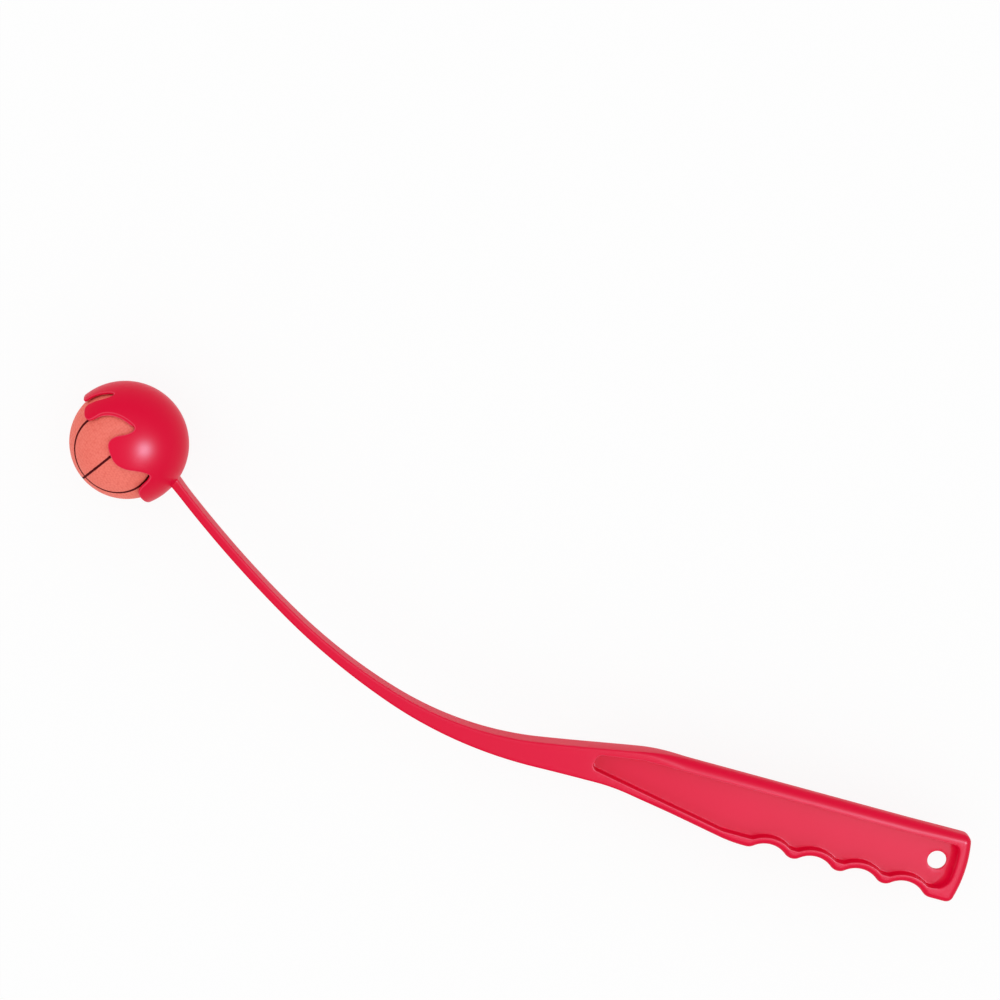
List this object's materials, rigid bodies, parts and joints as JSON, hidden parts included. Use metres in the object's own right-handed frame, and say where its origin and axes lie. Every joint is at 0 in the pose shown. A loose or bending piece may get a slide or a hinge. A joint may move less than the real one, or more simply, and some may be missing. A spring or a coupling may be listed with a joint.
{
  "type": "dog ball launcher",
  "caption": "Bowed plastic throwing stick with a finger-grooved, pocketed handle, a hanging hole and a lobed cup that grips a small rubber ball for throwing.",
  "frame": {"origin": "centre of the hanging hole, on the launcher's mid-plane", "axes": "+X along the back of the handle to the butt end, +Y to the hollow side of the bow, +Z square to the launcher's mid-plane, which lies flat"},
  "size_m": [0.5189, 0.1543, 0.0656],
  "materials": {
    "launcher_plastic": "satin moulded red plastic",
    "ball_rubber": "pebbled coral rubber",
    "line_rubber": "dark lines in the grooves"
  },
  "bodies": {
    "launcher": {"cup": "launcher_plastic", "shaft": "launcher_plastic", "handle": "launcher_plastic"},
    "ball": {"ball": "ball_rubber", "ball_lines": "line_rubber"}
  },
  "joints": [
    {"name": "ball_release", "type": "slide", "parent": "launcher", "child": "ball", "axis": [-0.6996, -0.7145, 0], "range_m": [0, 0.07]}
  ]
}
